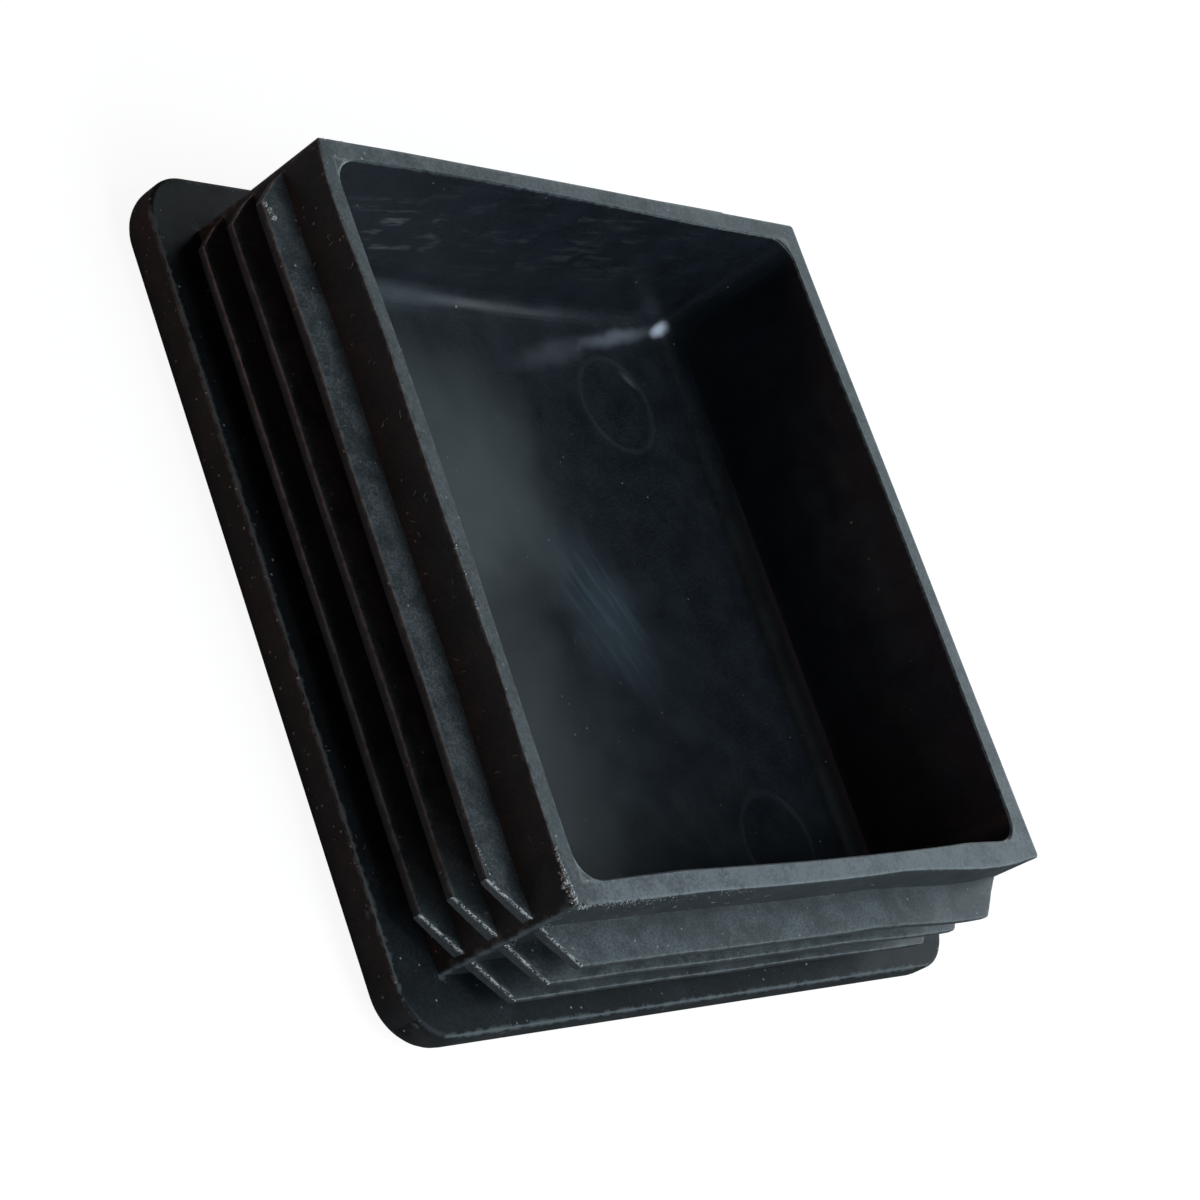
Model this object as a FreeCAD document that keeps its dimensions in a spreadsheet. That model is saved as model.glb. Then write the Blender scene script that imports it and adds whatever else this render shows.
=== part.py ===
import FreeCAD, Part
import math
import os
import Sketcher

# Square plug-in cap for the end of a fence post, moulded in one piece of plastic.
# It lies head down. The origin is the middle of the head's outer face, +Z runs up to the spigot's
# open rim, and X and Y are square to the post's walls. Lengths are in millimetres.

# Driving dimensions: the cell's alias, its value, and what it measures.
SIZES = [
    ("post_width", 60.0, "outside width of the square post, and of the head that covers its end"),
    ("head_thickness", 3.5, "from the head's outer face to the face that seats on the post's end"),
    ("head_corner_radius", 4.0, "plan radius of the head's four corners"),
    ("head_edge_radius", 2.0, "rounding all round the head's outer face"),
    ("seat_edge_radius", 0.3, "softening all round the seat face"),
    ("ledge_width", 3.95, "from the head's edge to the spigot's wall, over the post's own wall"),
    ("spigot_height", 12.0, "from the seat face to the open rim"),
    ("spigot_edge_radius", 0.3, "softening of the spigot's four upright edges"),
    ("wall_thickness", 1.6, "the spigot's wall at its rim"),
    ("rim_bow", 0.45, "how far each wall has drawn in at the middle of the rim; its foot is straight"),
    ("cavity_draft", 0.35, "how much each inner wall closes in from the rim to the seat's level"),
    ("cavity_corner_radius", 2.0, "rounding of each upright corner of the cavity"),
    ("floor_thickness", 2.2, "plastic under the cavity's floor"),
    ("floor_fillet", 1.1, "radius between the cavity's floor and its walls"),
    ("rib_reach", 2.75, "how far a grip rib stands out from the spigot's wall"),
    ("rib_tip", 0.7, "a rib's thickness at its tip"),
    ("rib_root", 0.9, "a rib's thickness at the spigot's wall"),
    ("rib_first", 2.5, "from the seat face to the upper face of the lowest rib"),
    ("rib_pitch", 3.0, "from one rib to the next"),
    ("rib_count", 3, "ribs on each side"),
    ("corner_inset", 0.6, "how far the 45 degree cut at the ribs' ends runs inside the spigot's corner"),
    ("pin_diameter", 7.9, "diameter of an ejector-pin mark"),
    ("pin_depth", 0.1, "depth of an ejector-pin mark"),
    ("pin_inset_x", 11.0, "from the spigot's wall to the centre of a pin mark, along X"),
    ("pin_inset_y", 8.25, "from the spigot's wall to the centre of a pin mark, along Y"),
]

NODE = "post_cap"
# Two levels or lengths that differ by less than this are the same.
SAME = 1e-4

doc = FreeCAD.newDocument("FencePostCap")
sheet = doc.addObject("Spreadsheet::Sheet", "Sizes")
for row, (alias, value, note) in enumerate(SIZES, start=1):
    sheet.set(f"A{row}", alias)
    sheet.set(f"B{row}", str(value))
    sheet.set(f"C{row}", note)
    sheet.setAlias(f"B{row}", alias)
doc.recompute()

# Levels and half widths that follow from the sizes, as expressions.
SEAT = "Sizes.head_thickness"
RIM = f"({SEAT} + Sizes.spigot_height)"
FLOOR = "Sizes.floor_thickness"
HEAD_HALF = "(Sizes.post_width / 2)"
SPIGOT_HALF = f"({HEAD_HALF} - Sizes.ledge_width)"
CAVITY_HALF = f"({SPIGOT_HALF} - Sizes.wall_thickness)"
CAVITY_FOOT_HALF = f"({CAVITY_HALF} - Sizes.cavity_draft)"
RIB_HALF = f"({SPIGOT_HALF} + Sizes.rib_reach)"
RIB_TOP = f"({SEAT} + Sizes.rib_first)"
# The 45 degree cut at the ribs' ends runs where |x| + |y| is this, so it takes these legs off the
# corners of a square as wide as the ribs, and of one as wide as the spigot.
RIB_CUT = f"(2 * {SPIGOT_HALF} - Sizes.corner_inset)"
RIB_FLAT = f"(2 * {RIB_HALF} - {RIB_CUT})"
ROOT_FLAT = f"(2 * {SPIGOT_HALF} - {RIB_CUT})"
PIN_X = f"({SPIGOT_HALF} - Sizes.pin_inset_x)"
PIN_Y = f"({SPIGOT_HALF} - Sizes.pin_inset_y)"

body = doc.addObject("PartDesign::Body", "PostCap")
body.Label = NODE
body.Placement = FreeCAD.Placement()


def origin_feature(role):
    """The body's own origin plane or axis of that role."""
    return next(item for item in body.Origin.OriginFeatures if item.Role == role)


def level_sketch(name, level):
    """An empty sketch parallel to the head, raised to the level that the expression gives."""
    sketch = body.newObject("Sketcher::SketchObject", name)
    sketch.AttachmentSupport = [(origin_feature("XY_Plane"), "")]
    sketch.MapMode = "FlatFace"
    sketch.setExpression("AttachmentOffset.Base.z", level)
    return sketch


def bind(sketch, kind, places, expression):
    """Adds a dimension to the sketch and ties it to an expression."""
    value = float(sketch.evalExpression(expression))
    index = sketch.addConstraint(Sketcher.Constraint(kind, *places, value))
    sketch.setExpression(f"Constraints[{index}]", expression)


def quarter_turned(x, y, turns):
    """The point turned clockwise by that many right angles."""
    for _ in range(turns):
        x, y = y, -x
    return FreeCAD.Vector(x, y, 0)


def side_edge(half, side, bow, turns):
    """One side of a square: straight, or an arc whose middle is drawn in by bow."""
    start = quarter_turned(half, side, turns)
    end = quarter_turned(half, -side, turns)
    if not bow:
        return Part.LineSegment(start, end)
    radius = (side**2 + bow**2) / (2 * bow)
    centre = quarter_turned(half - bow + radius, 0, turns)
    sweep = math.asin(side / radius)
    middle = math.pi - turns * math.pi / 2
    circle = Part.Circle(centre, FreeCAD.Vector(0, 0, 1), radius)
    return Part.ArcOfCircle(circle, middle - sweep, middle + sweep)


def square_sketch(name, level, half, flat=None, bow=None):
    """A square about the origin, with an optional 45 degree flat at its corners and bowed sides.

    Every size is an expression. The sides run clockwise from +X, and each starts at its
    anticlockwise end. The flats come after them.
    """
    sketch = level_sketch(name, level)
    side = f"({half} - {flat})" if flat else half
    half_now = float(sketch.evalExpression(half))
    side_now = float(sketch.evalExpression(side))
    bow_now = float(sketch.evalExpression(bow)) if bow else 0
    for turns in range(4):
        sketch.addGeometry(side_edge(half_now, side_now, bow_now, turns), False)
    if flat:
        for turns in range(4):
            start = quarter_turned(half_now, -side_now, turns)
            end = quarter_turned(half_now, side_now, turns + 1)
            sketch.addGeometry(Part.LineSegment(start, end), False)
    for turns in range(4):
        following = (turns + 1) % 4
        if flat:
            sketch.addConstraint(Sketcher.Constraint("Coincident", turns, 2, 4 + turns, 1))
            sketch.addConstraint(Sketcher.Constraint("Coincident", 4 + turns, 2, following, 1))
        else:
            sketch.addConstraint(Sketcher.Constraint("Coincident", turns, 2, following, 1))
    # The sketch's own axes are -1, along X, and -2, along Y. They mirror the corners. An arc's two
    # ends can't mirror each other, so the edge that follows it lends its starting point.
    bind(sketch, "DistanceX", (-1, 1, 0, 1), half)
    bind(sketch, "DistanceY", (-1, 1, 0, 1), side)
    sketch.addConstraint(Sketcher.Constraint("Symmetric", 0, 1, 4 if flat else 1, 1, -1))
    sketch.addConstraint(Sketcher.Constraint("Symmetric", 0, 1, 2, 2, -2))
    sketch.addConstraint(Sketcher.Constraint("Symmetric", 0, 2, 2, 1, -2))
    if flat:
        bind(sketch, "DistanceX", (-1, 1, 3, 2), side)
        bind(sketch, "DistanceY", (-1, 1, 3, 2), half)
        sketch.addConstraint(Sketcher.Constraint("Symmetric", 6, 2, 3, 2, -2))
        sketch.addConstraint(Sketcher.Constraint("Symmetric", 3, 2, 1, 1, -1))
        sketch.addConstraint(Sketcher.Constraint("Symmetric", 3, 1, 1, 2, -1))
    if bow:
        for turns in range(1, 4):
            sketch.addConstraint(Sketcher.Constraint("Equal", 0, turns))
        bind(sketch, "Radius", (0,), f"({side} ^ 2 + {bow} ^ 2) / (2 * {bow})")
    return sketch


def loft(kind, name, profile, *sections):
    """A loft with straight sides through the sketches."""
    feature = body.newObject(f"PartDesign::{kind}Loft", name)
    feature.Profile = profile
    feature.Sections = list(sections)
    feature.Ruled = True
    return feature


def edges_at(feature, test):
    """Names of the feature's edges whose every vertex passes the test."""
    return [
        f"Edge{i}"
        for i, edge in enumerate(feature.Shape.Edges, start=1)
        if all(test(vertex.Point) for vertex in edge.Vertexes)
    ]


def rising_edges(feature, reach):
    """Names of the feature's edges that rise near the corners of a square that far from its middle."""
    near = float(sheet.evalExpression(reach)) - 1
    return [
        f"Edge{i}"
        for i, edge in enumerate(feature.Shape.Edges, start=1)
        if abs(edge.Vertexes[0].Z - edge.Vertexes[-1].Z) > SAME
        and all(min(abs(v.X), abs(v.Y)) > near and max(abs(v.X), abs(v.Y)) < near + 2 for v in edge.Vertexes)
    ]


def fillet(name, base, edges, radius):
    """A fillet on the named edges of the base feature, with its radius tied to the sheet."""
    feature = body.newObject("PartDesign::Fillet", name)
    feature.Base = (base, edges)
    feature.setExpression("Radius", radius)
    return feature


def volume_of(feature):
    """The body's volume as it stands after that feature."""
    doc.recompute()
    return feature.Shape.Volume


# Head: a square plate with rounded corners, well rounded towards its outer face.
head_sketch = square_sketch("HeadOutline", "0", HEAD_HALF)
head = body.newObject("PartDesign::Pad", "Head")
head.Profile = head_sketch
head.setExpression("Length", SEAT)
doc.recompute()
head_corners = fillet("HeadCorners", head, rising_edges(head, HEAD_HALF), "Sizes.head_corner_radius")
doc.recompute()
outer_edges = edges_at(head_corners, lambda point: point.z < SAME)
head_rounding = fillet("HeadRounding", head_corners, outer_edges, "Sizes.head_edge_radius")
doc.recompute()
seat_level = float(sheet.get("head_thickness"))
seat_edges = edges_at(head_rounding, lambda point: abs(point.z - seat_level) < SAME)
seat_softening = fillet("SeatSoftening", head_rounding, seat_edges, "Sizes.seat_edge_radius")
plate_volume = volume_of(seat_softening)

# Spigot: a square block with hardly softened corners, straight at its foot and drawn in towards its rim.
spigot_foot = square_sketch("SpigotFoot", SEAT, SPIGOT_HALF)
spigot_rim = square_sketch("SpigotRim", RIM, SPIGOT_HALF, bow="Sizes.rim_bow")
spigot = loft("Additive", "Spigot", spigot_foot, spigot_rim)
block_volume = volume_of(spigot)
spigot_edges = rising_edges(spigot, SPIGOT_HALF)
fillet("SpigotEdges", spigot, spigot_edges, "Sizes.spigot_edge_radius")

# Grip ribs: one flat ring of four lamellae, with its corners cut at 45 degrees just inside the
# spigot's own corners. Each lamella has a flat upper face and thickens towards its root below.
blade_sketch = square_sketch("RibUpperFace", RIB_TOP, RIB_HALF, flat=RIB_FLAT)
blade = body.newObject("PartDesign::Pad", "RibBlade")
blade.Profile = blade_sketch
blade.Reversed = True
blade.setExpression("Length", "Sizes.rib_tip")
doc.recompute()
under_tip = square_sketch("RibUnderTip", f"{RIB_TOP} - Sizes.rib_tip", RIB_HALF, flat=RIB_FLAT)
under_root = square_sketch("RibUnderRoot", f"{RIB_TOP} - Sizes.rib_root", SPIGOT_HALF, flat=ROOT_FLAT)
underside = loft("Additive", "RibUnderside", under_tip, under_root)
first_rib_volume = volume_of(underside)
ribs = body.newObject("PartDesign::LinearPattern", "Ribs")
ribs.Originals = [blade, underside]
ribs.Direction = (origin_feature("Z_Axis"), [""])
ribs.setExpression("Occurrences", "Sizes.rib_count")
ribs.setExpression("Length", "(Sizes.rib_count - 1) * Sizes.rib_pitch")
body.Tip = ribs
ribbed_volume = volume_of(ribs)

# Cavity: its walls close in a little towards the head, inside which it is straight. Its upright
# corners are rounded, and its floor meets the walls in a soft fillet.
cavity_rim = square_sketch("CavityRim", RIM, CAVITY_HALF, bow="Sizes.rim_bow")
cavity_foot = square_sketch("CavityFoot", SEAT, CAVITY_FOOT_HALF)
cavity = loft("Subtractive", "Cavity", cavity_rim, cavity_foot)
open_volume = volume_of(cavity)
recess = body.newObject("PartDesign::Pocket", "CavityInHead")
recess.Profile = cavity_foot
recess.setExpression("Length", f"{SEAT} - {FLOOR}")
hollow_volume = volume_of(recess)
corner_edges = rising_edges(recess, CAVITY_HALF)
cavity_corners = fillet("CavityCorners", recess, corner_edges, "Sizes.cavity_corner_radius")
doc.recompute()
floor_level = float(sheet.get("floor_thickness"))
floor_edges = edges_at(cavity_corners, lambda point: abs(point.z - floor_level) < SAME)
floor_limit = f"0.9 * ({SEAT} - {FLOOR})"
floor_rounding = fillet("FloorRounding", cavity_corners, floor_edges, f"min(Sizes.floor_fillet; {floor_limit})")
rounded_volume = volume_of(floor_rounding)

# Ejector-pin marks: four shallow round recesses in the cavity's floor, one near each corner.
pin_sketch = level_sketch("PinMarks", FLOOR)
pin_x = float(pin_sketch.evalExpression(PIN_X))
pin_y = float(pin_sketch.evalExpression(PIN_Y))
for sign_x, sign_y in ((1, 1), (-1, 1), (-1, -1), (1, -1)):
    centre = FreeCAD.Vector(sign_x * pin_x, sign_y * pin_y, 0)
    circle = Part.Circle(centre, FreeCAD.Vector(0, 0, 1), float(sheet.get("pin_diameter")) / 2)
    pin_sketch.addGeometry(circle, False)
bind(pin_sketch, "DistanceX", (-1, 1, 0, 3), PIN_X)
bind(pin_sketch, "DistanceY", (-1, 1, 0, 3), PIN_Y)
pin_sketch.addConstraint(Sketcher.Constraint("Symmetric", 0, 3, 1, 3, -2))
pin_sketch.addConstraint(Sketcher.Constraint("Symmetric", 1, 3, 2, 3, -1))
pin_sketch.addConstraint(Sketcher.Constraint("Symmetric", 0, 3, 3, 3, -1))
for other in range(1, 4):
    pin_sketch.addConstraint(Sketcher.Constraint("Equal", 0, other))
bind(pin_sketch, "Diameter", (0,), "Sizes.pin_diameter")
pin_marks = body.newObject("PartDesign::Pocket", "PinMarkPockets")
pin_marks.Profile = pin_sketch
pin_marks.setExpression("Length", "Sizes.pin_depth")
body.Tip = pin_marks
marked_volume = volume_of(pin_marks)

# Every step has to have worked before anything is written.
for item in doc.Objects:
    if "Invalid" in item.State or "Error" in item.State:
        raise RuntimeError(f"{item.Name} failed: {item.State}")
    if item.isDerivedFrom("Sketcher::SketchObject") and not item.FullyConstrained:
        raise RuntimeError(f"{item.Name} is not fully constrained")
added = [plate_volume, block_volume, first_rib_volume, ribbed_volume]
removed = [ribbed_volume, open_volume, hollow_volume]
if added != sorted(set(added)) and sheet.get("rib_count") > 1:
    raise RuntimeError(f"an added feature added nothing: {added}")
if removed != sorted(set(removed), reverse=True):
    raise RuntimeError(f"a cut removed nothing: {removed}")
if not marked_volume < rounded_volume or not hollow_volume < rounded_volume:
    raise RuntimeError(f"the floor's fillet or its marks went wrong: {rounded_volume} {marked_volume}")
shape = body.Shape
if shape.isNull() or not shape.isValid() or len(shape.Solids) != 1:
    raise RuntimeError("the cap is not one valid solid")

os.makedirs("parts", exist_ok=True)
shape.exportStep(f"parts/{NODE}.step")
box = shape.optimalBoundingBox()
print(f"{NODE}: {shape.Volume:.1f} mm3, {box.XLength:.2f} x {box.YLength:.2f} x {box.ZLength:.2f} mm")
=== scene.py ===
"""A square plug-in cap for a fence post, lying head down on a pale floor.

The cap is one moulding: a rounded head, a hollow spigot with sharp corners and walls that waver at
their rim, and three thin grip ribs on each side, cut off at 45 degrees. Lengths are in millimetres
while the shapes are made, and each finished mesh is scaled to metres.
"""

import logging
import math
import random
from collections.abc import Iterable, Sequence
from dataclasses import dataclass, field
from enum import Enum

import bmesh
import bpy
from mathutils import Matrix, Vector, noise

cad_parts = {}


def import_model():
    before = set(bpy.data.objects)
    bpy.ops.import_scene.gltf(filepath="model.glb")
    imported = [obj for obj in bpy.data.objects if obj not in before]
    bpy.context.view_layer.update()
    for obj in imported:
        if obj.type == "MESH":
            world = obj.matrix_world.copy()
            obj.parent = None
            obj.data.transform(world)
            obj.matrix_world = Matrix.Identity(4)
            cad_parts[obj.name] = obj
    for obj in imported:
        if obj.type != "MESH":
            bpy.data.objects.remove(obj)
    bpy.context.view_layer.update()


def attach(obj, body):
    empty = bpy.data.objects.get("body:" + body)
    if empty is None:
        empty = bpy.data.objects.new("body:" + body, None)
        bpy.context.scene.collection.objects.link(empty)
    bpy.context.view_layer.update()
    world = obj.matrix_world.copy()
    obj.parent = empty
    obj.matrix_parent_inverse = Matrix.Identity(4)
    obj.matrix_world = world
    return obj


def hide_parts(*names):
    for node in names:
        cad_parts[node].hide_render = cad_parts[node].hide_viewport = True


LOG = logging.getLogger("cap")
NODE = "post_cap"
BODY = "root"
MM = 0.001
UP = (0, 0, 1)
STRAIGHT = "straight_place"

Colour = tuple[float, float, float]
Point = tuple[float, float, float]
Range = tuple[float, float]
Curve = tuple[Range, ...]
Mesh = bmesh.types.BMesh
Edge = bmesh.types.BMEdge
Face = bmesh.types.BMFace
Piece = bpy.types.Object
Material = bpy.types.Material
Socket = bpy.types.NodeSocket
Sockets = bpy.types.NodeOutputs

COOL: Colour = (0.86, 0.95, 1.0)


class Side(Enum):
    """The four sides of the spigot, by the axis that their faces look along."""

    LEFT = "-X"
    RIGHT = "+X"
    NEAR = "-Y"
    FAR = "+Y"


class Zone(Enum):
    """The surfaces of the cap that have a finish of their own, by material slot."""

    SKIN = 0
    CAVITY = 1
    CUT_END = 2
    RIM = 3
    SEAT = 4


# Mesh helpers.


def bevel_edges(bm: Mesh, edges: Iterable[Edge], offset: float, segments: int) -> None:
    """Rounds edges, or flattens them where there is one segment.

    Args:
        bm: the mesh.
        edges: the edges to cut.
        offset: how far the cut runs back along each face.
        segments: faces across the rounding.
    """
    bmesh.ops.bevel(
        bm,
        geom=list(edges),
        offset=offset,
        offset_type="OFFSET",
        segments=segments,
        profile=0.5,
        affect="EDGES",
        clamp_overlap=True,
        material=-1,
    )


def block(low: Point, high: Point) -> Mesh:
    """A plain block between two corners."""
    bm = bmesh.new()
    bmesh.ops.create_cube(bm, size=1.0)
    size = Vector(high) - Vector(low)
    bmesh.ops.scale(bm, vec=size, verts=bm.verts)
    bmesh.ops.translate(bm, vec=(Vector(low) + Vector(high)) / 2, verts=bm.verts)
    return bm


def upright_edges(bm: Mesh) -> list[Edge]:
    """The edges that run along Z."""
    return [e for e in bm.edges if abs(e.verts[0].co.z - e.verts[1].co.z) > 0.1]


def level_edges(bm: Mesh, level: float) -> list[Edge]:
    """The edges that lie at one level."""
    return [e for e in bm.edges if all(abs(v.co.z - level) < 1e-4 for v in e.verts)]


def divide(bm: Mesh, place: Point, axis: Point, tolerance: float, among: Iterable | None = None) -> list:
    """Cuts new edges into a mesh where a plane crosses it.

    Args:
        bm: the mesh.
        place: a point of the plane.
        axis: the plane's normal.
        tolerance: points nearer than this to the plane count as on it.
        among: the faces, edges and points that may be cut, or None for all.

    Returns:
        What may have been cut, with what is new.
    """
    geom = [*bm.verts, *bm.edges, *bm.faces] if among is None else [*dict.fromkeys(among)]
    return bmesh.ops.bisect_plane(bm, geom=geom, dist=tolerance, plane_co=place, plane_no=axis)["geom"]


def slice_off(bm: Mesh, point: Point, normal: Point) -> None:
    """Cuts away what lies beyond a plane and closes the cut."""
    everything = [*bm.verts, *bm.edges, *bm.faces]
    cut = bmesh.ops.bisect_plane(bm, geom=everything, plane_co=point, plane_no=normal, clear_outer=True)
    rim = [item for item in cut["geom_cut"] if isinstance(item, Edge)]
    bmesh.ops.contextual_create(bm, geom=rim)


def as_object(bm: Mesh, name: str) -> Piece:
    """Turns a bmesh into a linked object and frees it."""
    bmesh.ops.recalc_face_normals(bm, faces=bm.faces)
    mesh = bpy.data.meshes.new(name)
    bm.to_mesh(mesh)
    bm.free()
    piece = bpy.data.objects.new(name, mesh)
    bpy.context.scene.collection.objects.link(piece)
    return piece


def combine(base: Piece, tools: Sequence[Piece], operation: str) -> None:
    """Joins solids to the base, or cuts them out of it, and removes them.

    Args:
        base: the solid that is changed.
        tools: the solids that are used up.
        operation: UNION or DIFFERENCE.
    """
    for tool in tools:
        modifier = base.modifiers.new(operation.title(), "BOOLEAN")
        modifier.operation = operation
        modifier.solver = "EXACT"
        modifier.object = tool
    graph = bpy.context.evaluated_depsgraph_get()
    mesh = bpy.data.meshes.new_from_object(base.evaluated_get(graph))
    base.modifiers.clear()
    old = base.data
    base.data = mesh
    bpy.data.meshes.remove(old)
    for tool in tools:
        spent = tool.data
        bpy.data.objects.remove(tool)
        bpy.data.meshes.remove(spent)


def along(points: Curve, place: float) -> float:
    """Reads a smooth curve through the points, flat past its ends.

    Args:
        points: pairs of place and value, in order.
        place: where the curve is read.

    Returns:
        The value there.
    """
    if place <= points[0][0]:
        return points[0][1]
    padded = [points[0], *points, points[-1]]
    for before, (x0, y0), (x1, y1), after in zip(padded, padded[1:], padded[2:], padded[3:]):
        if place <= x1:
            length = x1 - x0
            share = (place - x0) / length
            leaving = (y1 - before[1]) / (x1 - before[0]) * length
            arriving = (after[1] - y0) / (after[0] - x0) * length
            square, cube = share**2, share**3
            return (
                (2 * cube - 3 * square + 1) * y0
                + (cube - 2 * square + share) * leaving
                + (3 * square - 2 * cube) * y1
                + (cube - square) * arriving
            )
    return points[-1][1]


@dataclass(frozen=True)
class WaveringWall:
    """How one wall of the spigot leaves its straight line, as it came out of the mould.

    Each curve runs along the wall and gives an outward shift at the rim, in millimetres.
    """

    outer: Curve
    inner: Curve
    inner_foot: float = 0.0


WALLS = {
    Side.LEFT: WaveringWall(
        outer=(
            *((-26, 0.12), (-22, 0.38), (-16, 0.24), (-10, -0.02), (-3, -0.16)),
            *((7, -0.14), (15, 0.18), (22, 0.5), (26, 0.06)),
        ),
        inner=((-24, 0.5), (-14, 0.5), (0, 0.36), (10, 0.44), (18, 0.72), (24, 0.78)),
    ),
    Side.RIGHT: WaveringWall(
        outer=((-26, -0.6), (-12, -0.38), (0, -0.28), (12, -0.1), (26, 0.04)),
        inner=((-24, -0.25), (-12, -0.38), (4, -0.34), (14, -0.04), (24, 0.02)),
        inner_foot=0.25,
    ),
    Side.NEAR: WaveringWall(
        outer=(
            *((-26, 0.08), (-16, 0.04), (-5, -0.12), (5, -0.1)),
            *((12, 0.12), (19, 0.46), (23, 0.34), (26, -0.08)),
        ),
        inner=((-24, 0.18), (-10, -0.08), (0, -0.2), (12, -0.12), (24, 0.16)),
    ),
    Side.FAR: WaveringWall(
        outer=((-26, 0.04), (-10, 0.12), (0, 0.12), (12, 0.04), (26, 0)),
        inner=((-24, -0.26), (-13, -0.52), (0, -0.4), (14, -0.12), (24, -0.12)),
        inner_foot=-0.35,
    ),
}


PIN_PLACES: Curve = ((14.8, 16.6), (-15.2, 16.9), (-15.2, -18.8), (15.3, -19.0))


@dataclass
class CapMoulding:
    """The cap itself: head, spigot, grip ribs and cavity, as one closed shell."""

    head_half: float = 30.0
    head_thickness: float = 3.5
    head_corner: float = 4.0
    head_rounding: float = 2.0
    seat_softening: float = 0.3
    spigot_half: float = 26.05
    rim_level: float = 15.5
    rim_softening: float = 0.12
    wall: float = 1.6
    draft: float = 0.35
    spigot_edge: float = 0.32
    cavity_corner: float = 2.0
    floor_level: float = 2.2
    floor_rounding: float = 1.7
    rib_half: float = 28.8
    rib_tip: float = 0.7
    rib_root: float = 0.9
    rib_tops: tuple[float, ...] = (6.0, 9.0, 12.0)
    rib_softening: float = 0.14
    cut_line: float = 51.5
    far_cut_line: float = 48.9
    sunk: float = 0.5
    pin_places: Curve = PIN_PLACES
    pin_radius: float = 3.95
    pin_depth: float = 0.03
    pin_lip: float = 0.7
    pin_lip_rise: float = 0.022
    flow_line: Curve = ((6.0, 20.0), (9.3, 20.8), (14.0, 21.95), (18.8, 22.9), (23.3, 23.6))
    flow_rise: float = 0.22
    flow_width: float = 0.6
    flow_start: float = 19.6
    flow_pitch: float = 0.16
    flow_steps: int = 30
    pitch: float = 0.6
    pitch_offset: float = 0.031
    cut_levels: tuple[float, ...] = (4.4, 5.2, 7.5, 10.5, 12.8, 13.7, 14.6)
    cut_tolerance: float = 0.01
    ripple: float = 0.05
    end_pitch: float = 0.22
    end_layers: tuple[float, ...] = (0.2, 0.4, 0.6)
    end_tolerance: float = 0.004
    end_roughness: float = 0.035
    walls: dict[Side, WaveringWall] = field(default_factory=lambda: WALLS)

    def head(self) -> Piece:
        """The square head, with rounded corners and a well rounded outer face."""
        half = self.head_half
        bm = block((-half, -half, 0), (half, half, self.head_thickness))
        bevel_edges(bm, upright_edges(bm), self.head_corner, 14)
        bevel_edges(bm, level_edges(bm, 0), self.head_rounding, 8)
        bevel_edges(bm, level_edges(bm, self.head_thickness), self.seat_softening, 3)
        return as_object(bm, "head")

    def spigot(self) -> Piece:
        """The spigot's outside, a block with hardly softened corners and rim."""
        half = self.spigot_half
        bm = block((-half, -half, self.head_thickness - self.sunk), (half, half, self.rim_level))
        bevel_edges(bm, upright_edges(bm), self.spigot_edge, 3)
        bevel_edges(bm, level_edges(bm, self.rim_level), self.rim_softening, 2)
        return as_object(bm, "spigot")

    def rib(self, turns: int, top: float) -> Piece:
        """One grip rib, cut off at 45 degrees at both ends.

        Args:
            turns: right angles from the +X side.
            top: the level of its upper face.
        """
        root = self.spigot_half - self.sunk
        bm = block((root, -self.head_half, top - self.rib_tip), (self.rib_half, self.head_half, top))
        thicker = (self.rib_root - self.rib_tip) * (self.rib_half - root) / (self.rib_half - self.spigot_half)
        for vert in bm.verts:
            if vert.co.x < self.spigot_half and vert.co.z < top - 1e-4:
                vert.co.z -= thicker
        far_side = 1
        for sign in (1, -1):
            cut = self.far_cut_line if (turns, sign) == (far_side, 1) else self.cut_line
            slice_off(bm, (cut, 0, 0), (1, sign, 0))
        tips = [e for e in bm.edges if all(v.co.x > self.rib_half - 1e-4 for v in e.verts)]
        tips = [e for e in tips if abs(e.verts[0].co.z - e.verts[1].co.z) < 1e-4]
        bevel_edges(bm, tips, self.rib_softening, 2)
        bmesh.ops.rotate(bm, matrix=Matrix.Rotation(turns * math.pi / 2, 3, "Z"), verts=bm.verts)
        return as_object(bm, "rib")

    def cavity(self) -> Piece:
        """The space that is cut out: drafted walls, rounded corners and floor and a softened rim."""
        foot = self.spigot_half - self.wall - self.draft
        above = self.rim_level + 1.0
        bm = block((-foot, -foot, self.floor_level), (foot, foot, above))
        bevel_edges(bm, upright_edges(bm), self.cavity_corner, 7)
        bevel_edges(bm, level_edges(bm, self.floor_level), self.floor_rounding, 6)
        for level in (self.head_thickness, self.rim_level - self.rim_softening):
            divide(bm, (0, 0, level), UP, 0.0)
        slope = self.draft / (self.rim_level - self.head_thickness)
        for vert in bm.verts:
            grown = foot + max(0.0, vert.co.z - self.head_thickness) * slope
            grown += max(0.0, vert.co.z - self.rim_level + self.rim_softening)
            vert.co.x *= grown / foot
            vert.co.y *= grown / foot
        return as_object(bm, "cavity")

    def pin_mark(self, x: float, y: float) -> Piece:
        """The shallow round recess that an ejector pin leaves in the floor."""
        bm = bmesh.new()
        bmesh.ops.create_cone(
            bm, cap_ends=True, segments=96, radius1=self.pin_radius, radius2=self.pin_radius, depth=1.0
        )
        bmesh.ops.translate(bm, vec=(x, y, self.floor_level - self.pin_depth + 0.5), verts=bm.verts)
        return as_object(bm, "pin_mark")

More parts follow.
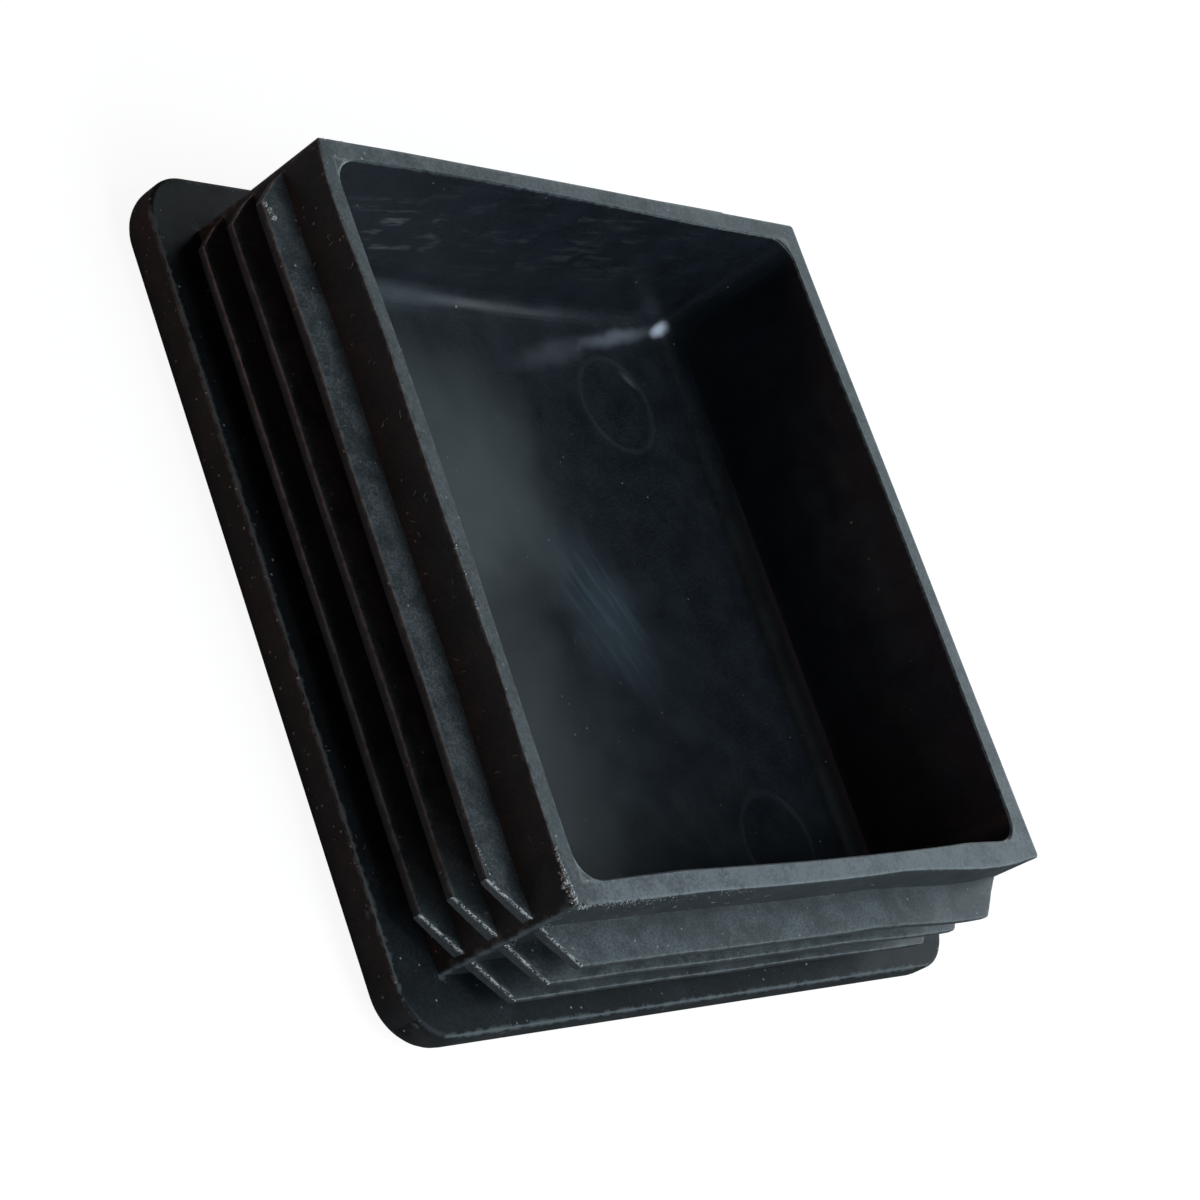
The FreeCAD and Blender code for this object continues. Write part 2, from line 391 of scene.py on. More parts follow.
    def pin_ring(self, x: float, y: float) -> Piece:
        """The low raised lip round a pin's recess."""
        bm = bmesh.new()
        bmesh.ops.create_circle(bm, segments=16, radius=self.pin_lip)
        bmesh.ops.rotate(bm, matrix=Matrix.Rotation(math.pi / 2, 3, "X"), verts=bm.verts)
        bmesh.ops.translate(bm, vec=(self.pin_radius, 0, 0), verts=bm.verts)
        round_it = {"axis": UP, "cent": (0, 0, 0), "angle": math.tau, "steps": 96}
        bmesh.ops.spin(bm, geom=[*bm.verts, *bm.edges], use_merge=True, **round_it)
        bmesh.ops.remove_doubles(bm, verts=bm.verts, dist=1e-4)
        level = self.floor_level + self.pin_lip_rise - self.pin_lip
        bmesh.ops.translate(bm, vec=(x, y, level), verts=bm.verts)
        return as_object(bm, "pin_ring")

    def cut_pitch(self, bm: Mesh) -> None:
        """Divides the sides at an even pitch, so that the walls can waver along them."""
        steps = int(self.spigot_half / self.pitch)
        for axis in ((1, 0, 0), (0, 1, 0)):
            for step in range(-steps, steps + 1):
                place = (step + self.pitch_offset) * self.pitch
                divide(bm, tuple(place * a for a in axis), axis, self.cut_tolerance)
        for level in self.cut_levels:
            divide(bm, (0, 0, level), UP, self.cut_tolerance)
        flow = [f for f in bm.faces if self.in_flow(f.calc_center_median())]
        for step in range(self.flow_steps):
            for axis in ((0, 1, 0), (1, 0, 0)):
                place = self.flow_start + step * self.flow_pitch
                near = (item for f in flow if f.is_valid for item in (f, *f.edges, *f.verts))
                cut = divide(bm, tuple(place * a for a in axis), axis, self.cut_tolerance, near)
                flow = [f for f in (*flow, *cut) if f.is_valid and isinstance(f, Face)]
                flow = [*dict.fromkeys(f for f in flow if self.in_flow(f.calc_center_median()))]

    def in_flow(self, place: Vector) -> bool:
        """Whether a place on the floor is near the ridge that the molten plastic left."""
        return 5 < place.x < 24.4 and 19.4 < place.y < 24.4 and place.z < self.floor_level + 1.2

    def flow_height(self, place: Vector) -> float:
        """How much the floor is raised beyond the flow line, in the corner by the far wall."""
        if not self.in_flow(place):
            return 0.0
        beyond = place.y - along(self.flow_line, place.x)
        step = min(1.0, max(0.0, 0.5 + beyond / self.flow_width))
        fade = min(1.0, max(0.0, (place.x - 6) / 9))
        low = 1 - min(1.0, max(0.0, (place.z - self.floor_level) / 0.9))
        return self.flow_rise * (3 * step**2 - 2 * step**3) * (3 * fade**2 - 2 * fade**3) * low

    def shift(self, across: float, place: float, rise: float, sides: tuple[Side, Side]) -> float:
        """How far a point moves across one pair of walls.

        Args:
            across: the point's coordinate across the walls.
            place: its coordinate along them.
            rise: 0 at the seat, 1 at the rim.
            sides: the wall on the negative side, then the one on the positive side.

        Returns:
            The move along the same coordinate.
        """
        wall = self.walls[sides[across > 0]]
        outer = along(wall.outer, place) * rise
        inner = wall.inner_foot + (along(wall.inner, place) - wall.inner_foot) * rise
        inside = self.spigot_half - self.wall
        depth = (abs(across) - inside) / self.wall
        if depth >= 0:
            outward = inner + (outer - inner) * min(1.0, depth)
        else:
            outward = inner * abs(across) / inside
        return math.copysign(outward, across)

    def moved(self, place: Vector) -> Vector:
        """Where a point of the straight cap lies on the real one, whose walls and ribs bow and ripple."""
        x, y, z = place
        rise = max(0.0, (z - self.head_thickness) / (self.rim_level - self.head_thickness)) ** 1.3
        settle = min(1.0, z / self.floor_level)
        out = Vector(place)
        out.x += settle * self.shift(x, y, rise, (Side.LEFT, Side.RIGHT))
        out.y += settle * self.shift(y, x, rise, (Side.NEAR, Side.FAR))
        out.z += self.flow_height(place)
        reach = max(abs(x), abs(y)) - self.spigot_half
        if z > self.head_thickness + 0.5 and reach > 0.1:
            share = self.ripple * reach / (self.rib_half - self.spigot_half)
            out.z += share * noise.noise(Vector((x * 0.14, y * 0.14, z * 0.9)))
            out.x += math.copysign(share, x) * noise.noise(Vector((7 + y * 0.1, 3, z * 0.8)))
            out.y += math.copysign(share, y) * noise.noise(Vector((x * 0.1, 11, z * 0.8)))
        return out

    def waver(self, bm: Mesh) -> None:
        """Moves the shell's points to where the real walls have them, and notes where they were."""
        layer = bm.verts.layers.float_vector.new(STRAIGHT)
        for vert in bm.verts:
            vert[layer] = vert.co * MM
            vert.co = self.moved(vert.co)

    def cut_ends(self, bm: Mesh) -> list[Face]:
        """The faces where the ribs are cut off at 45 degrees."""
        found = []
        for face in bm.faces:
            x, y, z = face.calc_center_median()
            slanted = abs(abs(face.normal.x) - abs(face.normal.y)) < 0.12 and abs(face.normal.z) < 0.2
            outside = abs(x) + abs(y) > self.far_cut_line - 0.4 and max(abs(x), abs(y)) > self.spigot_half
            if slanted and outside and self.head_thickness + 1 < z < self.rib_tops[-1] + 0.2:
                found.append(face)
        return found

    def roughen_ends(self, bm: Mesh) -> None:
        """Breaks up the cut ends of the ribs, which a knife left rough."""
        ends = self.cut_ends(bm)
        for face in ends:
            face.material_index = Zone.CUT_END.value
        diagonal = Vector((1, 1, 0)).normalized()
        other = Vector((1, -1, 0)).normalized()
        count = int(5.0 / self.end_pitch)
        steps = [(k + 0.5) * self.end_pitch for k in range(-count, count)]
        planes = [(axis * step, axis) for axis in (diagonal, other) for step in steps]
        planes += [(Vector((0, 0, top - drop)), UP) for top in self.rib_tops for drop in self.end_layers]
        for place, axis in planes:
            ends = [f for f in bm.faces if f.material_index == Zone.CUT_END.value]
            around = (item for f in ends for item in (*f.verts, *f.edges, f))
            divide(bm, place, axis, self.end_tolerance, around)
        ends = [f for f in bm.faces if f.material_index == Zone.CUT_END.value]
        loose = {v: f.normal.copy() for f in ends for v in f.verts}
        for vert, normal in loose.items():
            grain = noise.noise(vert.co * 3.1) * 0.6 + noise.noise(vert.co * 7.3) * 0.4
            vert.co += normal * grain * self.end_roughness

    def zone_of(self, face: Face) -> Zone:
        """The finish that a face takes, from its place and the way it looks."""
        if face.material_index == Zone.CUT_END.value:
            return Zone.CUT_END
        x, y, z = face.calc_center_median()
        reach = max(abs(x), abs(y))
        if face.normal.z > 0.9 and z > self.rim_level - 0.1:
            return Zone.RIM
        if reach < self.spigot_half - 0.45 and z > self.floor_level - 0.3:
            return Zone.CAVITY
        seat = face.normal.z > 0.3 and z < self.head_thickness + 0.2
        # The head's outer face on the near side takes the seat's darker finish, which paints shade on that
        # side.
        shaded_near_side = face.normal.y < -0.5 and z < self.head_thickness and y < -self.head_half + 1.5
        if seat or shaded_near_side:
            return Zone.SEAT
        return Zone.SKIN

    def sharpen(self, bm: Mesh) -> None:
        """Shades the faces smooth and keeps the true edges sharp."""
        for face in bm.faces:
            face.smooth = True
        for edge in bm.edges:
            edge.smooth = len(edge.link_faces) == 2 and edge.calc_face_angle(0.0) < math.radians(40)

    def build(self) -> Piece:
        """The finished shell, in metres, with its walls wavering."""
        base = self.head()
        parts = [self.spigot()]
        parts += [self.rib(turns, top) for top in self.rib_tops for turns in range(4)]
        combine(base, parts, "UNION")
        combine(base, [self.cavity()], "DIFFERENCE")
        combine(base, [self.pin_mark(x, y) for x, y in self.pin_places], "DIFFERENCE")
        combine(base, [self.pin_ring(x, y) for x, y in self.pin_places], "UNION")
        base.name = base.data.name = "cap_moulding"
        bm = bmesh.new()
        bm.from_mesh(base.data)
        bmesh.ops.remove_doubles(bm, verts=bm.verts, dist=0.0005)
        self.roughen_ends(bm)
        self.cut_pitch(bm)
        bmesh.ops.dissolve_degenerate(bm, dist=0.002, edges=bm.edges)
        for face in bm.faces:
            face.material_index = self.zone_of(face).value
        self.waver(bm)
        self.sharpen(bm)
        bmesh.ops.scale(bm, vec=(MM, MM, MM), verts=bm.verts)
        bm.to_mesh(base.data)
        bm.free()
        for zone in Zone:
            base.data.materials.append(FINISHES[zone].material())
        even = base.modifiers.new("Even normals", "WEIGHTED_NORMAL")
        even.keep_sharp = True
        return base


class Bench:
    """Lays out the nodes of one material, world or group."""

    def __init__(self, tree: bpy.types.NodeTree) -> None:
        """Starts from an empty tree."""
        self.tree = tree
        tree.nodes.clear()

    def node(self, kind: str, inputs: dict | None = None, **settings: object) -> bpy.types.Node:
        """Adds a node, sets its properties and fills or links its inputs.

        Args:
            kind: the node's type without its ShaderNode prefix.
            inputs: a value or another node's output for each input.
            settings: the node's own properties.

        Returns:
            The node.
        """
        made = self.tree.nodes.new(kind if kind.startswith("Node") else f"ShaderNode{kind}")
        for name, value in settings.items():
            setattr(made, name, value)
        for name, value in (inputs or {}).items():
            if isinstance(value, Socket):
                self.tree.links.new(value, made.inputs[name])
            else:
                made.inputs[name].default_value = value
        return made

    def maths(self, operation: str, *values: object, clamp: bool = False) -> Socket:
        """The result of a sum on numbers or sockets."""
        return self.node("Math", dict(enumerate(values)), operation=operation, use_clamp=clamp).outputs[0]

    def times(self, first: object, *others: object, clamp: bool = False) -> Socket:
        """The product of numbers or sockets, held between 0 and 1 where asked."""
        *before, last = others
        for other in before:
            first = self.maths("MULTIPLY", first, other)
        return self.maths("MULTIPLY", first, last, clamp=clamp)

    def minus(self, first: object, second: object) -> Socket:
        """The difference of two numbers or sockets."""
        return self.maths("SUBTRACT", first, second)

    def near(self, distance: Socket, width: object) -> Socket:
        """1 at no distance, falling evenly to 0 at the width."""
        return self.maths("SUBTRACT", 1.0, self.maths("DIVIDE", distance, width), clamp=True)

    def parts(self, where: Socket) -> list[Socket]:
        """The three coordinates of a place or a direction."""
        return list(self.node("SeparateXYZ", {0: where}).outputs)

    def upwards(self) -> Socket:
        """How far the surface looks up: 1 straight up, 0 upright, -1 straight down."""
        return self.parts(self.node("NewGeometry").outputs["Normal"])[2]

    def mix(self, share: object, first: object, second: object) -> Socket:
        """A colour between two, by a share."""
        return self.node("Mix", {0: share, 6: first, 7: second}, data_type="RGBA").outputs[2]

    def lay(self, under: Socket, mark: Socket, share: float, tint: Colour) -> Socket:
        """Lays a mark of one colour over the colours so far."""
        return self.mix(self.times(mark, share), under, (*tint, 1))

    def shades(self, share: Socket, colour: Colour, spread: Range) -> Socket:
        """A colour between a darker and a paler shade of one, by a share."""
        return self.mix(share, *((*(c * f for c in colour), 1) for f in spread))

    def ramp(self, value: Socket, low: float, high: float, to: Range = (0.0, 1.0)) -> Socket:
        """A value stretched from one range onto another, held at its ends."""
        inputs = {"Value": value, 1: low, 2: high, 3: to[0], 4: to[1]}
        return self.node("MapRange", inputs, interpolation_type="SMOOTHSTEP").outputs[0]

    def cloud(self, where: Socket, scale: object, detail: float, roughness: float = 0.5) -> Socket:
        """A cloudy pattern of a given scale."""
        inputs = {"Vector": where, "Scale": scale, "Detail": detail, "Roughness": roughness}
        return self.node("TexNoise", inputs).outputs[0]

    def noise(self, where: Socket, size: float, detail: float = 2.0, roughness: float = 0.5) -> Socket:
        """A cloudy pattern whose patches are about as large as the size, in millimetres."""
        return self.cloud(where, 1 / (size * MM), detail, roughness)

    def stretched(self, where: Socket, scale: Point, turn: Point = (0, 0, 0)) -> Socket:
        """Coordinates turned and then scaled along their axes."""
        turned = self.node("Mapping", {"Vector": where, "Rotation": turn}).outputs[0]
        return self.node("Mapping", {"Vector": turned, "Scale": scale}).outputs[0]

    def surface(self, colour: Socket, rough: Socket, height: Socket, depth: float, specular: float) -> None:
        """Ends a material with the plastic's shader.

        Args:
            colour: the colour.
            rough: the roughness.
            height: the relief.
            depth: how deep the relief is, in millimetres.
            specular: the strength of the gloss.
        """
        bump = self.node("Bump", {"Height": height, "Distance": depth * MM, "Strength": 1.0}).outputs[0]
        shader = self.node("BsdfPrincipled", {"Base Color": colour, "Roughness": rough, "Normal": bump})
        shader.inputs["Specular Tint"].default_value = (*COOL, 1)
        shader.inputs["Specular IOR Level"].default_value = specular
        self.node("OutputMaterial", {"Surface": shader.outputs[0]})


def new_material(name: str) -> tuple[Material, Bench]:
    """A new material and the bench for its nodes."""
    made = bpy.data.materials.new(name)
    made.use_nodes = True
    return made, Bench(made.node_tree)


class Effect:
    """A pattern that several finishes share, kept as one node group."""

    title = ""
    inputs: tuple[tuple[str, str, object], ...] = ()
    outputs: tuple[str, ...] = ()

    def lay_out(self, bench: Bench, given: Sockets) -> dict[str, Socket]:
        """Lays out the group's nodes.

        Args:
            bench: the group's bench.
            given: the sockets that the group's inputs arrive at.

        Returns:
            A socket for each output.
        """
        raise NotImplementedError

    def group(self) -> bpy.types.NodeTree:
        """The node group, built when it is first asked for."""
        found = bpy.data.node_groups.get(self.title)
        if found is not None:
            return found
        tree = bpy.data.node_groups.new(self.title, "ShaderNodeTree")
        bench = Bench(tree)
        for name, kind, value in self.inputs:
            made = tree.interface.new_socket(name=name, in_out="INPUT", socket_type=f"NodeSocket{kind}")
            made.default_value = value
        for name in self.outputs:
            tree.interface.new_socket(name=name, in_out="OUTPUT", socket_type="NodeSocketFloat")
        given = bench.node("NodeGroupInput").outputs
        bench.node("NodeGroupOutput", self.lay_out(bench, given))
        return tree

    def use(self, bench: Bench, **values: object) -> Sockets:
        """Places the group in a material, with a value for each of its inputs."""
        return bench.node("Group", values, node_tree=self.group()).outputs


class MouldGrain(Effect):
    """The fine grain that the mould's eroded steel leaves in the plastic."""

    title = "mould_grain"
    inputs = (("Place", "Vector", (0, 0, 0)), ("Size", "Float", 0.16))
    outputs = ("Height", "Tone")
    coarser = 6.0

    def lay_out(self, bench: Bench, given: Sockets) -> dict[str, Socket]:
        """A fine noise over a broader one."""
        scale = bench.maths("DIVIDE", 1 / MM, given["Size"])
        fine = bench.cloud(given["Place"], scale, 2.0, 0.6)
        broad = bench.cloud(given["Place"], bench.maths("DIVIDE", scale, self.coarser), 1.0)
        return {"Height": bench.maths("MULTIPLY_ADD", broad, 0.5, fine), "Tone": bench.ramp(fine, 0.36, 0.66)}


class WornLitEdges(Effect):
    """Nearness to the edges of the rim, ribs, corners and head, where a pale colour stands partly for rubbing
    and partly for a painted highlight.
    """

    title = "worn_lit_edges"
    inputs = (("Straight", "Vector", (0, 0, 0)), ("Width", "Float", 0.2))
    outputs = ("Mask",)

    rim = 15.5
    outside = 26.05
    inside = 24.45
    rib_tip = 28.8
    rib_pitch = 3.0
    cut_line = 51.5
    head = (29.85, 3.45)
    corner_width = 1 / 0.45
    slant = 0.7

    def away(self, bench: Bench, first: Socket, second: Socket) -> Socket:
        """The distance that two offsets make."""
        joined = bench.node("CombineXYZ", {0: first, 1: second}).outputs[0]
        return bench.node("VectorMath", {0: joined}, operation="LENGTH").outputs["Value"]

    def lay_out(self, bench: Bench, given: Sockets) -> dict[str, Socket]:
        """The distance to the nearest edge line, in millimetres, turned into a ragged mask."""
        scaled = bench.node("VectorMath", {0: given["Straight"], "Scale": 1 / MM}, operation="SCALE")
        x, y, z = bench.parts(scaled.outputs[0])
        x, y = bench.maths("ABSOLUTE", x), bench.maths("ABSOLUTE", y)
        reach, side = bench.maths("MAXIMUM", x, y), bench.maths("MINIMUM", x, y)
        up, out = bench.minus(z, self.rim), bench.minus(reach, self.outside)
        fold = bench.maths("PINGPONG", z, self.rib_pitch / 2)
        cut = bench.times(bench.minus(self.cut_line, bench.maths("ADD", x, y)), self.slant)
        corner = self.away(bench, out, bench.minus(side, self.outside))
        lines = (
            self.away(bench, out, up),
            self.away(bench, cut, fold),
            self.away(bench, bench.minus(reach, self.inside), up),
            bench.maths("DIVIDE", corner, self.corner_width),
            self.away(bench, bench.minus(reach, self.rib_tip), fold),
            self.away(bench, bench.minus(reach, self.head[0]), bench.minus(z, self.head[1])),
        )
        nearest = lines[0]
        for line in lines[1:]:
            nearest = bench.maths("MINIMUM", nearest, line)
        ragged = bench.noise(given["Straight"], 0.7, 2.0, 0.65)
        width = bench.times(given["Width"], bench.ramp(ragged, 0.35, 0.7, (0.35, 1.6)))
        return {"Mask": bench.near(nearest, width)}


class Specks(Effect):
    """Scattered grains of dust, each a small spot of its own size."""

    title = "specks"
    inputs = (("Place", "Vector", (0, 0, 0)), ("Spacing", "Float", 1.0), ("Share", "Float", 0.3))
    outputs = ("Mask",)

    def lay_out(self, bench: Bench, given: Sockets) -> dict[str, Socket]:
        """One spot in some of the cells of a cellular pattern."""
        scale = bench.maths("DIVIDE", 1 / MM, given["Spacing"])
        cells = bench.node("TexVoronoi", {"Vector": given["Place"], "Scale": scale}).outputs
        chance, size, strength = bench.node("SeparateColor", {0: cells["Color"]}).outputs
        chosen = bench.maths("LESS_THAN", chance, given["Share"])
        spot = bench.near(cells["Distance"], bench.maths("MULTIPLY_ADD", size, 0.16, 0.08))
        firm = bench.times(spot, 2.5, clamp=True)
        return {"Mask": bench.times(firm, chosen, bench.maths("MULTIPLY_ADD", strength, 0.7, 0.3))}


class Scuffs(Effect):
    """Fine streaks in patches: scratches, flow marks or rubbed dirt, along the pattern's own X."""

    title = "scuffs"
    inputs = (
        ("Place", "Vector", (0, 0, 0)),
        ("Width", "Float", 0.2),
        ("Patch", "Float", 4.0),
        ("Cover", "Float", 0.5),
    )
    outputs = ("Mask",)
    narrowness = 0.12

    def lay_out(self, bench: Bench, given: Sockets) -> dict[str, Socket]:
        """A stretched noise, kept where a broad one is high."""
        fine, wide = (bench.maths("DIVIDE", 1 / MM, given[name]) for name in ("Width", "Patch"))
        lines = bench.cloud(bench.stretched(given["Place"], (self.narrowness, 1, 1)), fine, 2.0, 0.7)
        limit = bench.minus(0.78, bench.times(given["Cover"], 0.5))
        patch = bench.times(bench.minus(bench.cloud(given["Place"], wide, 1.0), limit), 7.0, clamp=True)
        return {"Mask": bench.times(patch, bench.ramp(lines, 0.48, 0.68))}


@dataclass(frozen=True)
class Plastic:
    """The anthracite plastic as the outer skin shows it: grained, dusty above, darker low down, pale at its
    edges from rubbing and a painted highlight.

    Lengths are in millimetres. A cover, share or strength is between 0 and 1.
    """

    name: str
    colour: Colour = (0.0125, 0.0175, 0.0205)
    spread: Range = (0.72, 1.32)
    roughness: float = 0.44
    grain_size: float = 0.2
    grain_depth: float = 0.010
    specular: float = 0.5
    # Pale colour of scratches and of rubbed edges; on the edges it also paints a highlight.
    wear_and_highlight: Colour = (0.115, 0.14, 0.147)
    edge_width: float = 0.24
    edge_strength: float = 0.75
    grime: Colour = (0.034, 0.031, 0.028)
    griminess: float = 0.5
    # A darker colour laid over the plastic low down, at the seat and the head, by a share and between two
    # levels.
    low_tint: Colour = (0.0045, 0.005, 0.005)
    low_darkening: float = 0.55
    darkening_levels: Range = (4.8, 3.0)
    scratch_depth: float = 0.5
    scratch_width: float = 0.09
    dust: Colour = (0.13, 0.155, 0.17)
    dust_cover: float = 0.62
    dust_upright: float = 0.06
    dust_levels: Range = (2.5, 11.9)
    # The share of dust kept at the ribs' roots, lowered to paint shade there.
    root_dust_shade: float = 1.0
    root: Range = (26.2, 27.6)
    speck_colour: Colour = (0.30, 0.31, 0.31)
    speck_spacing: float = 0.5
    speck_share: float = 0.16

    def tone(self, bench: Bench, where: Socket, grain: Socket) -> Socket:
        """The bare plastic's colour, mottled a little and darkened low down at the seat and the head."""
        mottle = bench.maths("MULTIPLY_ADD", grain, 0.35, bench.noise(where, 4.0, 2.0, 0.65))
        bare = bench.shades(bench.ramp(mottle, 0.45, 0.9), self.colour, self.spread)
        return bench.lay(bare, self.deep(bench, where), self.low_darkening, self.low_tint)

    def film(self, bench: Bench, where: Socket, grain: Socket) -> Socket:
        """Where dust lies: on what looks up, thinner lower down towards the head, and thinned at the ribs'
        roots, which paints shade into the corner where each rib meets the wall.
        """
        level = bench.ramp(bench.parts(where)[2], *(z * MM for z in self.dust_levels))
        lying = bench.times(bench.ramp(bench.upwards(), 0.2, 0.95, (self.dust_upright, 1.0)), level)
        patchy = bench.ramp(bench.noise(where, 2.2, 2.0, 0.7), 0.34, 0.66, (0.35, 1.0))
        cover = bench.times(lying, patchy, bench.ramp(grain, 0.0, 1.0, (0.55, 1.2)))
        # Painted shade: less dust near the spigot's wall darkens the ribs towards their roots.
        if self.root_dust_shade < 1:
            x, y = (bench.maths("ABSOLUTE", side) for side in bench.parts(where)[:2])
            reach = bench.maths("MAXIMUM", x, y)
            outwards = bench.ramp(reach, *(r * MM for r in self.root), (self.root_dust_shade, 1.0))
            cover = bench.times(cover, outwards)
        return bench.times(cover, self.dust_cover, clamp=True)

    def deep(self, bench: Bench, where: Socket) -> Socket:
        """1 down at the seat and the head, 0 above them."""
        return bench.ramp(bench.parts(where)[2], *(z * MM for z in self.darkening_levels))

    def dull(self, bench: Bench, where: Socket) -> Socket:
        """Where the surface is rougher: on the skin, low down at the seat and the head, by the same share
        that darkens them there.
        """
        return bench.times(self.deep(bench, where), self.low_darkening)

    def extra(self, bench: Bench, where: Socket, colour: Socket) -> Socket:
        """What one surface alone shows: on the skin, brown grime in patches on what stands upright."""
        upright = bench.ramp(bench.maths("ABSOLUTE", bench.upwards()), 0.6, 0.2)
        patches = bench.ramp(bench.noise(where, 2.6, 3.0, 0.7), 0.42, 0.7)
        return bench.lay(colour, bench.times(patches, upright), self.griminess, self.grime)

    def material(self) -> Material:
        """The finished material."""
        made, bench = new_material(self.name)
        where = bench.node("TexCoord").outputs["Object"]
        straight = bench.node("Attribute", attribute_name=STRAIGHT).outputs["Vector"]
        grain = MouldGrain().use(bench, Place=where, Size=self.grain_size)
        edge = WornLitEdges().use(bench, Straight=straight, Width=self.edge_width)["Mask"]
        film = self.film(bench, where, grain["Tone"])
        specks = Specks().use(bench, Place=where, Spacing=self.speck_spacing, Share=self.speck_share)["Mask"]
        height = grain["Height"]
        colour = self.extra(bench, where, self.tone(bench, where, grain["Tone"]))
        colour = bench.mix(film, colour, (*self.dust, 1))
        # Pale edges: partly rubbed plastic, partly a painted highlight.
        colour = bench.lay(colour, edge, self.edge_strength, self.wear_and_highlight)
        if self.scratch_depth:
            turned = bench.stretched(where, (1, 1, 1), (0.3, 0.2, 1.1))
            given = {"Place": turned, "Width": self.scratch_width, "Patch": 5.0, "Cover": 0.35}
            scratches = Scuffs().use(bench, **given)["Mask"]
            colour = bench.lay(colour, scratches, self.scratch_depth * 0.5, self.wear_and_highlight)
            height = bench.maths("MULTIPLY_ADD", scratches, -self.scratch_depth, height)
        colour = bench.mix(specks, colour, (*self.speck_colour, 1))
        worn = bench.maths("MAXIMUM", bench.times(film, 0.5), specks)
        worn = bench.maths("MAXIMUM", worn, self.dull(bench, where))
        either_side = (self.roughness - 0.05, self.roughness + 0.05)
        uneven = bench.ramp(bench.noise(where, 3.0, 1.0), 0.3, 0.7, either_side)
        rough = bench.maths("MULTIPLY_ADD", worn, 0.35, uneven, clamp=True)
        bench.surface(colour, rough, height, self.grain_depth, self.specular)
        return made


@dataclass(frozen=True)
class RimPlastic(Plastic):
    """The rim's face, whose dust is paler along the near side, as painted light, and thinner along the left
    one, as painted shade.
    """

    near_painted_light: float = 2.2
    left_painted_shade: float = 0.56
    band: Range = (-23.9, -24.9)

    def film(self, bench: Bench, where: Socket, grain: Socket) -> Socket:
        """The skin's dust, raised along the near side as painted light and lowered along the left side as
        painted shade.
        """
        x, y, _ = bench.parts(where)
        ends = [z * MM for z in self.band]
        near, left = bench.ramp(y, *ends, (1.0, self.near_painted_light)), bench.ramp(x, *ends, (1.0, self.left_painted_shade))
        return bench.times(near, left, super().film(bench, where, grain), clamp=True)


@dataclass(frozen=True)
class SoftPatch:
    """A soft-edged egg-shaped patch where a colour is laid, in millimetres: a scuff, or a painted highlight,
    reflection, sheen, shade or light.

    Attributes:
        centre: its middle.
        reach: half its length along each of its axes.
        turn: how far it is turned about Z, in radians.
        firm: the share of its reach that shows it in full.
    """

    centre: Point
    reach: Point
    turn: float = 0.0
    firm: float = 0.25

    def mask(self, bench: Bench, where: Socket) -> Socket:
        """How much of the patch a place shows."""
        inputs = {
            "Vector": where,
            "Location": tuple(c * MM for c in self.centre),
            "Rotation": (0, 0, self.turn),
            "Scale": tuple(r * MM for r in self.reach),
        }
        place = bench.node("Mapping", inputs, vector_type="TEXTURE").outputs[0]
        far = bench.node("VectorMath", {0: place}, operation="LENGTH").outputs["Value"]
        return bench.ramp(far, 1.0, self.firm)


